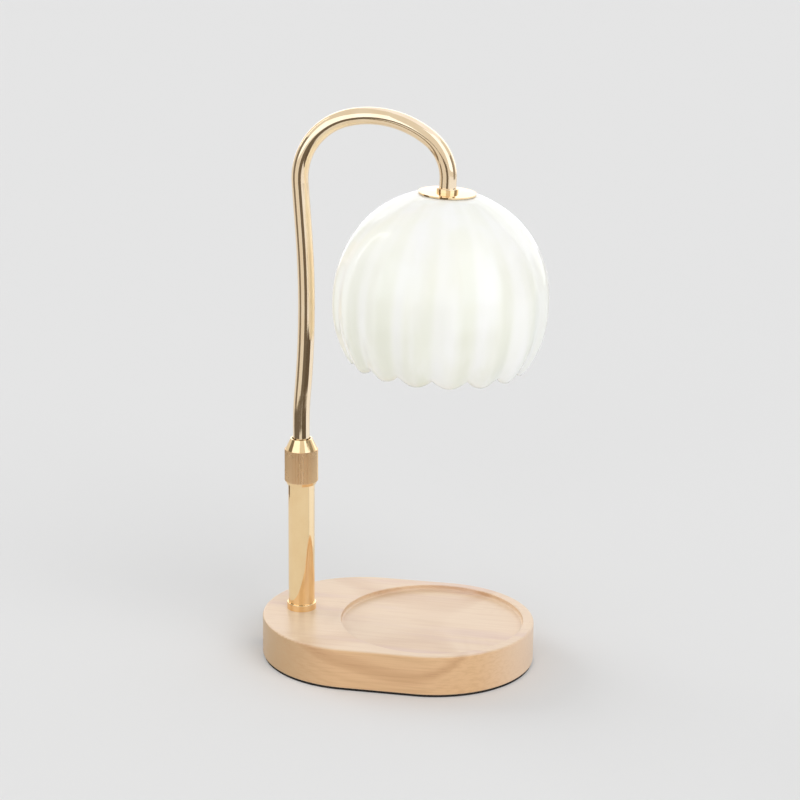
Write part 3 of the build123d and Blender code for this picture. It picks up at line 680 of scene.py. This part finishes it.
class Bench:
    """The few hand movements that the pieces are modelled with."""

    @staticmethod
    def clear() -> None:
        """Deselects everything."""
        bpy.ops.object.select_all(action="DESELECT")

    @staticmethod
    def start(name: str) -> bpy.types.Object:
        """Names the primitive that the caller has just added.

        Args:
            name: The piece's name.

        Returns:
            The piece.
        """
        piece = bpy.context.object
        piece.name = name
        piece.data.name = name
        return piece

    @staticmethod
    def edit(piece: bpy.types.Object, chosen: Callable[[Vector], bool]) -> None:
        """Selects the points that a test picks and enters edit mode.

        Args:
            piece: The piece.
            chosen: Says of a point's place whether it is selected.
        """
        mesh = piece.data
        for part in (mesh.polygons, mesh.edges):
            part.foreach_set("select", [False] * len(part))
        for vertex in mesh.vertices:
            vertex.select = chosen(vertex.co)
        bpy.ops.object.mode_set(mode="EDIT")
        bpy.ops.mesh.select_mode(type="VERT")

    @staticmethod
    def done() -> None:
        """Leaves edit mode."""
        bpy.ops.object.mode_set(mode="OBJECT")

    @staticmethod
    def trim(piece: bpy.types.Object, chosen: Callable[[Vector], bool]) -> None:
        """Deletes the points that a test picks.

        Args:
            piece: The piece.
            chosen: Says of a point's place whether it goes.
        """
        Bench.edit(piece, chosen)
        bpy.ops.mesh.delete(type="VERT")
        Bench.done()

    @staticmethod
    def finish(piece: bpy.types.Object, kind: str, **settings: object) -> None:
        """Adds a modifier and applies it.

        Args:
            piece: The piece.
            kind: The modifier's type.
            settings: Its properties.
        """
        modifier = piece.modifiers.new(kind.title(), kind)
        for name, value in settings.items():
            setattr(modifier, name, value)
        bpy.context.view_layer.objects.active = piece
        bpy.ops.object.modifier_apply(modifier=modifier.name)

    @staticmethod
    def smooth(piece: bpy.types.Object, angle: float) -> None:
        """Shades the piece smooth below an angle.

        Args:
            piece: The piece.
            angle: The angle.
        """
        Bench.clear()
        piece.select_set(True)
        bpy.context.view_layer.objects.active = piece
        bpy.ops.object.shade_smooth_by_angle(angle=math.radians(angle))

    @staticmethod
    def wire(
        name: str, path: list[Vector], radius: float, across: Vector, sides: int
    ) -> bpy.types.Object:
        """Models a round wire along a path: a grid rolled up, closed and capped.

        Args:
            name: The piece's name.
            path: The points that its middle runs through.
            radius: Its radius.
            across: A direction that the path never follows.
            sides: How many sides it has.

        Returns:
            The wire.
        """
        last = len(path) - 1
        Bench.clear()
        bpy.ops.mesh.primitive_grid_add(x_subdivisions=last, y_subdivisions=sides, size=1.0)
        wire = Bench.start(name)
        for vertex in wire.data.vertices:
            step = round((vertex.co.x + 0.5) * last)
            angle = round((vertex.co.y + 0.5) * sides) * 2 * math.pi / sides
            along = (path[min(step + 1, last)] - path[max(step - 1, 0)]).normalized()
            side = along.cross(across).normalized()
            outward = math.cos(angle) * side + math.sin(angle) * along.cross(side)
            vertex.co = path[step] + radius * outward
        Bench.edit(wire, everywhere)
        bpy.ops.mesh.remove_doubles(threshold=0.01 * radius)
        bpy.ops.mesh.fill_holes(sides=0)
        bpy.ops.mesh.normals_make_consistent(inside=False)
        Bench.done()
        Bench.smooth(wire, angle=50.0)
        return wire

    @staticmethod
    def settle(piece: bpy.types.Object, matrix: Matrix) -> None:
        """Puts the piece in its place, in its mesh."""
        piece.data.transform(matrix)
        piece.matrix_world = Matrix.Identity(4)


@dataclass
class SubAssembly:
    """Pieces that are dressed together."""

    pieces: dict[str, Slot]

    def dress(self, frame: dict, finishes: Finishes) -> None:
        """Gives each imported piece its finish.

        Args:
            frame: The loaded frame.
            finishes: The lamp's finishes.
        """
        for node, slot in self.pieces.items():
            finishes.put(node, frame["nodes"][node], slot)


@dataclass
class Base(SubAssembly):
    """The wooden base with its pad, ballast and cable inlet."""

    pieces: dict[str, Slot] = field(default_factory=lambda: {
        "wood_base": Slot.WOOD,
        "base_pad": Slot.PAD_FOAM,
        "ballast_plate": Slot.STEEL,
        "ballast_screws": Slot.STEEL,
        "cable_gland": Slot.BLACK_RUBBER,
        "base_leads": Slot.LEAD_INSULATION,
    })


@dataclass
class Post(SubAssembly):
    """The post, its fixing through the wood and its lock collar."""

    pieces: dict[str, Slot] = field(default_factory=lambda: {
        "post_tube": Slot.POLISHED_GOLD,
        "post_foot_ring": Slot.POLISHED_GOLD,
        "post_end_bush": Slot.STEEL,
        "post_stud": Slot.STEEL,
        "post_washer": Slot.STEEL,
        "post_lock_washer": Slot.STEEL,
        "post_nut": Slot.STEEL,
        "clamp_bush": Slot.KNURLED_GOLD,
        "clamp_collet": Slot.NYLON,
        "lock_collar": Slot.KNURLED_GOLD,
    })


@dataclass
class Neck(SubAssembly):
    """The bent tube, its guide in the post and its leads."""

    pieces: dict[str, Slot] = field(default_factory=lambda: {
        "neck_tube": Slot.POLISHED_GOLD,
        "guide_sleeve": Slot.NYLON,
        "neck_end_ring": Slot.POLISHED_GOLD,
        "neck_stop_clip": Slot.STEEL,
        "neck_ferrule": Slot.POLISHED_GOLD,
        "neck_leads": Slot.LEAD_INSULATION,
        "slack_leads": Slot.LEAD_INSULATION,
    })


@dataclass
class Shade(SubAssembly):
    """The glass shade between its cap and its nut.

    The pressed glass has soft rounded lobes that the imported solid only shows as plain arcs, so a
    finer piece stands for it. It is modelled upright, its crown at the origin, as a flat seat, a
    round crown, a straight belt and a round lower part. Each column of points between two crests
    is then drawn in, and lifted at the rim.
    """

    pieces: dict[str, Slot] = field(default_factory=lambda: {
        "shade_cap": Slot.POLISHED_GOLD,
        "cap_gasket": Slot.SILICONE,
        "glass_shade": Slot.MILK_GLASS,
        "under_gasket": Slot.SILICONE,
        "shade_washer": Slot.STEEL,
        "shade_nut": Slot.STEEL,
    })
    head: Head = Head()
    seat_depth: float = 0.0013
    seat_radius: float = 0.0166
    seat_ring_radius: float = 0.00996
    hole_radius: float = 0.0056
    round_radius: float = 0.0635
    belt: float = 0.0038
    height: float = 0.1033
    wall: float = 0.0033
    crown_valley: float = 0.0002
    rim_valley: float = 0.0026
    valley_growth: float = 1.5
    petal_half_width: float = 0.0099
    scallop: float = 0.0050
    lift_reach: float = 0.020
    lift_growth: float = 1.5
    crease_height: float = 0.015
    steps_per_lobe: int = 8
    crown_rings: int = 13
    lower_rings: int = 7
    near: float = 0.0001

    def crown_depth(self) -> float:
        """Gives how deep the crown is, from its seat down to the belt."""
        return math.sqrt(self.round_radius ** 2 - self.seat_radius ** 2)

    def profile(self) -> list[Pair]:
        """Gives the crest line.

        Returns:
            Radius and depth of each ring, from the hole to the rim.
        """
        crown, belt_end = self.crown_depth(), self.crown_depth() + self.belt
        seat = (self.hole_radius, self.seat_ring_radius, self.seat_radius)
        line = [(radius, 0.0) for radius in seat]
        first = math.asin(self.seat_radius / self.round_radius)
        for ring in range(1, self.crown_rings + 1):
            angle = first + (math.pi / 2 - first) * ring / self.crown_rings
            depth = crown - self.round_radius * math.cos(angle)
            line.append((self.round_radius * math.sin(angle), depth))
        last = math.asin((self.height - belt_end) / self.round_radius)
        for ring in range(self.lower_rings + 1):
            angle = last * ring / self.lower_rings
            depth = belt_end + self.round_radius * math.sin(angle)
            line.append((self.round_radius * math.cos(angle), depth))
        return line

    def glass(self) -> bpy.types.Object:
        """Models the shade: a spun profile whose columns are drawn in between the lobes.

        Returns:
            The glass.
        """
        line = self.profile()
        Bench.clear()
        bpy.ops.mesh.primitive_grid_add(x_subdivisions=len(line) - 1, y_subdivisions=1, size=1.0)
        glass = Bench.start("shade_glass")
        Bench.trim(glass, lambda place: place.y > 0)
        for vertex, (radius, depth) in zip(sorted(glass.data.vertices, key=lambda v: v.co.x), line):
            vertex.co = (radius, 0, -depth)
        Bench.edit(glass, everywhere)
        columns = self.head.lobes * self.steps_per_lobe
        bpy.ops.mesh.spin(steps=columns, angle=2 * math.pi, center=(0, 0, 0), axis=(0, 0, 1))
        bpy.ops.mesh.select_all(action="SELECT")
        bpy.ops.mesh.remove_doubles(threshold=0.1 * self.near)
        bpy.ops.mesh.normals_make_consistent(inside=False)
        Bench.done()
        self.draw_in(glass)
        Bench.finish(
            glass, "SOLIDIFY", thickness=self.wall, offset=-1.0, use_even_offset=True,
            edge_crease_rim=1.0,
        )
        Bench.finish(glass, "SUBSURF", levels=1, render_levels=1)
        Bench.smooth(glass, angle=180.0)
        seat = Matrix.Translation((0, 0, -self.seat_depth))
        swing = Matrix.Rotation(math.radians(self.head.phase), 4, "Z")
        Bench.settle(glass, self.head.place() @ seat @ swing)
        return glass

    def column(self, share: float, low: float, high: float) -> Callable[[Vector], bool]:
        """Makes a test for the points of the columns that lie alike between crest and valley.

        Args:
            share: How far they lie from a crest, 1 in a valley.
            low: The level above which they count.
            high: The level below which they count.

        Returns:
            The test of a point's place.
        """
        half = math.pi / self.head.lobes

        def chosen(place: Vector) -> bool:
            """Says whether a point lies in the columns and between the levels."""
            aside = abs((math.atan2(place.y, place.x) + half) % (2 * half) - half)
            return low < place.z < high and abs(aside - share * half) < half / self.steps_per_lobe

        return chosen

    def draw_in(self, glass: bpy.types.Object) -> None:
        """Draws the columns in towards the axis, lifts the rim between petals and creases valleys.

        Args:
            glass: The round shell, still upright.
        """
        for step in range(1, self.steps_per_lobe // 2 + 1):
            share = 2 * step / self.steps_per_lobe
            # The dip is level both on the crest and in the valley.
            dip = share * share * (2 - share * share)
            for radius, depth in self.profile()[2:]:
                Bench.edit(glass, self.column(share, -depth - self.near, -depth + self.near))
                growth = (depth / self.height) ** self.valley_growth
                valley = self.crown_valley + self.rim_valley * growth
                inward = 1 - valley * dip / radius
                nearness = max(0.0, 1 - (self.height - depth) / self.lift_reach)
                lift = self.rise(share) * nearness ** self.lift_growth
                if lift > 0 and depth > self.crown_depth() + self.belt:
                    # A lifted point stays on the round wall, which is wider higher up.
                    inward += lift * math.sqrt(self.round_radius ** 2 - radius ** 2) / radius ** 2
                    bpy.ops.transform.translate(value=(0, 0, lift))
                bpy.ops.transform.resize(value=(inward, inward, 1), center_override=(0, 0, -depth))
                Bench.done()
        rim = -self.height
        Bench.edit(glass, self.column(1, rim - self.near, rim + self.crease_height))
        bpy.ops.transform.edge_crease(value=1.0)
        Bench.done()

    def rise(self, share: float) -> float:
        """Gives the round outline of a petal.

        Args:
            share: How far a point lies from the crest, 1 in a valley.

        Returns:
            How far the rim rises there.
        """
        arc = (self.petal_half_width ** 2 + self.scallop ** 2) / (2 * self.scallop)
        return arc - math.sqrt(arc ** 2 - (self.petal_half_width * share) ** 2)

    def dress(self, frame: dict, finishes: Finishes) -> None:
        """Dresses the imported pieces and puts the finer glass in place.

        Args:
            frame: The loaded frame.
            finishes: The lamp's finishes.
        """
        super().dress(frame, finishes)
        glass = self.glass()
        finishes.put(glass.name, glass, Slot.MILK_GLASS)
        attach(glass, "neck")
        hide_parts("glass_shade")


@dataclass
class Holder(SubAssembly):
    """The twist-lock lampholder on its bracket."""

    pieces: dict[str, Slot] = field(default_factory=lambda: {
        "holder_bracket": Slot.STEEL,
        "bracket_nut": Slot.STEEL,
        "lampholder": Slot.CERAMIC,
        "holder_plate": Slot.CERAMIC,
        "holder_contacts": Slot.CONTACT_BRONZE,
        "holder_screws": Slot.STEEL,
    })


@dataclass
class Bulb(SubAssembly):
    """The reflector bulb, with a coiled filament and its two leads in the capsule.

    The wires are modelled upright, the cap's middle at the origin.
    """

    pieces: dict[str, Slot] = field(default_factory=lambda: {
        "bulb_base": Slot.CERAMIC,
        "bulb_pins": Slot.STEEL,
        "bulb_reflector": Slot.MIRROR_GLASS,
        "bulb_capsule": Slot.CLEAR_GLASS,
        "bulb_lens": Slot.CLEAR_GLASS,
    })
    head: Head = Head()
    coil_top: float = -0.0640
    coil_length: float = 0.0054
    coil_radius: float = 0.0008
    coil_turns: int = 9
    coil_wire: float = 0.00016
    coil_sides: int = 6
    steps_per_turn: int = 16
    lead_top: float = -0.0560
    lead_spread: float = 0.0019
    lead_bend: float = 0.0006
    lead_wire: float = 0.00028
    lead_sides: int = 8

    def coil(self) -> bpy.types.Object:
        """Models the filament.

        Returns:
            The coil.
        """
        count = self.coil_turns * self.steps_per_turn
        path = []
        for step in range(count + 1):
            angle = math.pi + 2 * math.pi * step / self.steps_per_turn
            level = self.coil_top - self.coil_length * step / count
            x, y = self.coil_radius * math.cos(angle), self.coil_radius * math.sin(angle)
            path.append(Vector((x, y, level)))
        return Bench.wire("filament_coil", path, self.coil_wire, Vector((0, 0, 1)), self.coil_sides)

    def lead(self, name: str, side: int, level: float) -> bpy.types.Object:
        """Models one of the wires that hold the filament.

        Args:
            name: The wire's name.
            side: 1 or -1, the side that it comes down on.
            level: Where it turns in to the coil.

        Returns:
            The wire.
        """
        corner = 0.3 * self.lead_bend
        path = [
            Vector((side * self.lead_spread, 0, self.lead_top)),
            Vector((side * self.lead_spread, 0, level + self.lead_bend)),
            Vector((side * (self.lead_spread - corner), 0, level + corner)),
            Vector((side * (self.lead_spread - self.lead_bend), 0, level)),
            Vector((side * self.coil_radius, 0, level)),
        ]
        return Bench.wire(name, path, self.lead_wire, Vector((0, 1, 0)), self.lead_sides)

    def dress(self, frame: dict, finishes: Finishes) -> None:
        """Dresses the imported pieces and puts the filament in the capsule.

        Args:
            frame: The loaded frame.
            finishes: The lamp's finishes.
        """
        super().dress(frame, finishes)
        wires = (
            self.coil(),
            self.lead("filament_lead_left", -1, self.coil_top),
            self.lead("filament_lead_right", 1, self.coil_top - self.coil_length),
        )
        for wire in wires:
            Bench.settle(wire, self.head.place())
            finishes.put(wire.name, wire, Slot.STEEL)
            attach(wire, "bulb")


@dataclass(frozen=True)
class Card:
    """A glowing or dark card round the lamp that only its reflections show.

    It is a line swept round the upright axis at the middle of the lamp, so it may be a wall, a
    level sheet or a slope. Each end of the line has a reach from that axis and a height. The card
    spans the sides from left to right, 0 in front and 90 at the right.
    """

    name: str
    inner: Pair
    outer: Pair
    left: float
    right: float
    glow: Colour
    centre_x: float = -0.03
    step: float = 6.0

    def build(self) -> None:
        """Makes the card."""
        Bench.clear()
        bpy.ops.mesh.primitive_plane_add()
        card = Bench.start(self.name)
        Bench.trim(card, lambda place: place.y > 0)
        side = math.radians(self.left)
        for vertex, (reach, height) in zip(card.data.vertices, (self.inner, self.outer)):
            vertex.co = (self.centre_x + reach * math.sin(side), -reach * math.cos(side), height)
        Bench.edit(card, everywhere)
        span = self.right - self.left
        bpy.ops.mesh.spin(
            steps=max(1, round(span / self.step)), angle=-math.radians(span),
            center=(self.centre_x, 0, 0), axis=(0, 0, 1),
        )
        Bench.done()
        self.paint(card)

    def paint(self, card: bpy.types.Object) -> None:
        """Gives the card its glow and hides it from all but reflections.

        Args:
            card: The card.
        """
        material = bpy.data.materials.new(self.name)
        material.use_nodes = True
        tree = material.node_tree
        tree.nodes.clear()
        light = tree.nodes.new("ShaderNodeEmission")
        strength = max(self.glow)
        light.inputs["Color"].default_value = (*(part / strength for part in self.glow), 1)
        light.inputs["Strength"].default_value = strength
        output = tree.nodes.new("ShaderNodeOutputMaterial")
        tree.links.new(light.outputs[0], output.inputs["Surface"])
        card.data.materials.append(material)
        for ray in ("camera", "diffuse", "shadow", "transmission", "volume_scatter"):
            setattr(card, "visible_" + ray, False)


@dataclass(frozen=True)
class Sun:
    """A soft far lamp.

    Its azimuth is 0 in front and 90 at the right, and its share is the brightness that it gives a
    white face turned to it.
    """

    name: str
    azimuth: float
    elevation: float
    share: float
    softness: float = 40.0

    def build(self) -> None:
        """Adds the lamp."""
        lamp = bpy.data.lights.new(self.name, "SUN")
        lamp.energy = self.share * math.pi
        lamp.angle = math.radians(self.softness)
        thing = bpy.data.objects.new(self.name, lamp)
        bpy.context.scene.collection.objects.link(thing)
        side, rise = math.radians(self.azimuth), math.radians(self.elevation)
        level = math.cos(rise)
        toward = Vector((math.sin(side) * level, -math.cos(side) * level, math.sin(rise)))
        thing.rotation_mode = "QUATERNION"
        thing.rotation_quaternion = toward.to_track_quat("Z", "Y")
        thing.visible_glossy = False


@dataclass(frozen=True)
class Studio:
    """The pale floor, the even sky and the soft lamps."""

    floor_size: float = 60.0
    floor_level: float = 0.00005
    pale: Colour = tint(229, 229, 229)
    sky_strength: float = 0.69
    suns: tuple[Sun, ...] = (
        Sun("low_left_sun", -112, 18, 0.36),
        Sun("right_sun", 54, 42, 0.24),
        Sun("low_front_sun", 0, 14, 0.15),
    )
    cards: tuple[Card, ...] = (
        Card("front_flag", (0.45, 0.0), (0.45, 0.27), -13, 20, (0.16, 0.14, 0.12)),
        Card("front_table", (0.38, 0.003), (0.70, 0.003), 18, 80, (0.12, 0.10, 0.08)),
        Card("low_flag", (0.42, 0.0), (0.42, 0.050), -98, -13, (0.16, 0.14, 0.12)),
        Card("left_table", (0.35, 0.003), (0.42, 0.003), -98, -13, (0.40, 0.34, 0.27)),
        Card("left_edge", (0.31, 0.002), (0.42, 0.002), -128, -104, (0.15, 0.12, 0.10)),
        Card("left_flag", (0.50, 0.03), (0.50, 0.50), -94, -63, (0.22, 0.20, 0.18)),
        Card("left_strip", (1.60, 0.62), (1.60, 1.90), -107, -103, (3.2, 3.2, 3.2)),
        Card("right_flag", (0.50, 0.22), (0.50, 0.46), 85, 116, (0.34, 0.32, 0.30)),
        Card("right_sheet", (0.68, 0.002), (2.2, 0.002), 28, 150, (0.93, 0.98, 1.10)),
        Card("right_sheet_near", (0.16, 0.001), (0.67, 0.001), 84, 150, (0.93, 0.98, 1.10)),
        Card("front_box", (1.10, 0.30), (1.10, 1.15), -60, -2, (1.30, 1.42, 1.60)),
        Card("right_box", (1.10, 0.27), (1.10, 1.75), 42, 84, (1.30, 1.45, 1.75)),
        Card("top_box", (0.10, 1.60), (1.60, 1.60), 60, 210, (1.02, 1.08, 1.25)),
        Card("rear_box", (2.40, -0.02), (2.40, 2.10), 138, 222, (1.55, 1.58, 1.65)),
    )

    def lay_floor(self) -> None:
        """Lays the floor: even and matt, and clear to an eye below it."""
        Bench.clear()
        bpy.ops.mesh.primitive_plane_add(size=self.floor_size)
        floor = Bench.start("studio_floor")
        for vertex in floor.data.vertices:
            vertex.co.z = self.floor_level
        s = Surface(floor.name)
        s.set(Base_Color=self.pale, Roughness=1.0, Specular_IOR_Level=0.0)
        clear, either = s.node("BsdfTransparent"), s.node("MixShader")
        s.feed(either.inputs[0], s.node("NewGeometry").outputs["Backfacing"])
        s.feed(either.inputs[1], s.shader.outputs[0])
        s.feed(either.inputs[2], clear.outputs[0])
        s.feed(s.tree.nodes["Material Output"].inputs["Surface"], either.outputs[0])
        floor.data.materials.append(s.material)

    def light_sky(self) -> None:
        """Makes the sky: an even glow, seen directly, in gloss or through glass as a backdrop."""
        world = bpy.data.worlds.new("studio_sky")
        bpy.context.scene.world = world
        world.use_nodes = True
        tree = world.node_tree
        glow, seen = tree.nodes["Background"], tree.nodes.new("ShaderNodeBackground")
        glow.inputs["Color"].default_value = (1, 1, 1, 1)
        glow.inputs["Strength"].default_value = self.sky_strength
        seen.inputs["Color"].default_value = (*self.pale, 1)
        rays = tree.nodes.new("ShaderNodeLightPath").outputs
        shown = rays["Is Camera Ray"]
        for kind in ("Is Transmission Ray", "Is Glossy Ray"):
            either = tree.nodes.new("ShaderNodeMath")
            either.operation = "MAXIMUM"
            tree.links.new(shown, either.inputs[0])
            tree.links.new(rays[kind], either.inputs[1])
            shown = either.outputs[0]
        mix = tree.nodes.new("ShaderNodeMixShader")
        for socket, source in zip(mix.inputs, (shown, glow.outputs[0], seen.outputs[0])):
            tree.links.new(source, socket)
        tree.links.new(mix.outputs[0], tree.nodes["World Output"].inputs[0])

    def build(self) -> None:
        """Puts up the floor, the cards, the sky and the lamps."""
        self.lay_floor()
        for card in self.cards:
            card.build()
        self.light_sky()
        for sun in self.suns:
            sun.build()
        LOG.info("studio: floor, %d cards, sky, %d lamps", len(self.cards), len(self.suns))


@dataclass(frozen=True)
class Viewpoint:
    """Where the camera stands and looks."""

    place: Triple = (0.2507, -1.2811, 0.5481)
    direction: Triple = (-0.18422, 0.94098, -0.28393)
    roll: float = 0.6
    lens: float = 103.84
    sensor: float = 36.0
    clip: Pair = (0.01, 100.0)

    def build(self) -> None:
        """Makes the camera."""
        data = bpy.data.cameras.new("camera")
        data.lens = self.lens
        data.sensor_width = self.sensor
        data.sensor_fit = "HORIZONTAL"
        data.clip_start, data.clip_end = self.clip
        camera = bpy.data.objects.new("camera", data)
        bpy.context.scene.collection.objects.link(camera)
        camera.rotation_mode = "QUATERNION"
        look = Vector(self.direction).to_track_quat("-Z", "Y")
        camera.rotation_quaternion = look @ Quaternion((0, 0, 1), math.radians(self.roll))
        camera.location = self.place
        bpy.context.scene.camera = camera
        LOG.info("camera at %s", self.place)


def main() -> None:
    """Builds the lamp's looks around the frame."""
    logging.basicConfig(level=logging.INFO, format="%(name)s: %(message)s")
    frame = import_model()
    bpy.context.scene.view_settings.view_transform = "Standard"
    finishes = Finishes()
    for assembly in (Base(), Post(), Neck(), Shade(), Holder(), Bulb()):
        assembly.dress(frame, finishes)
    Studio().build()
    Viewpoint().build()


if __name__ == "__main__":
    main()
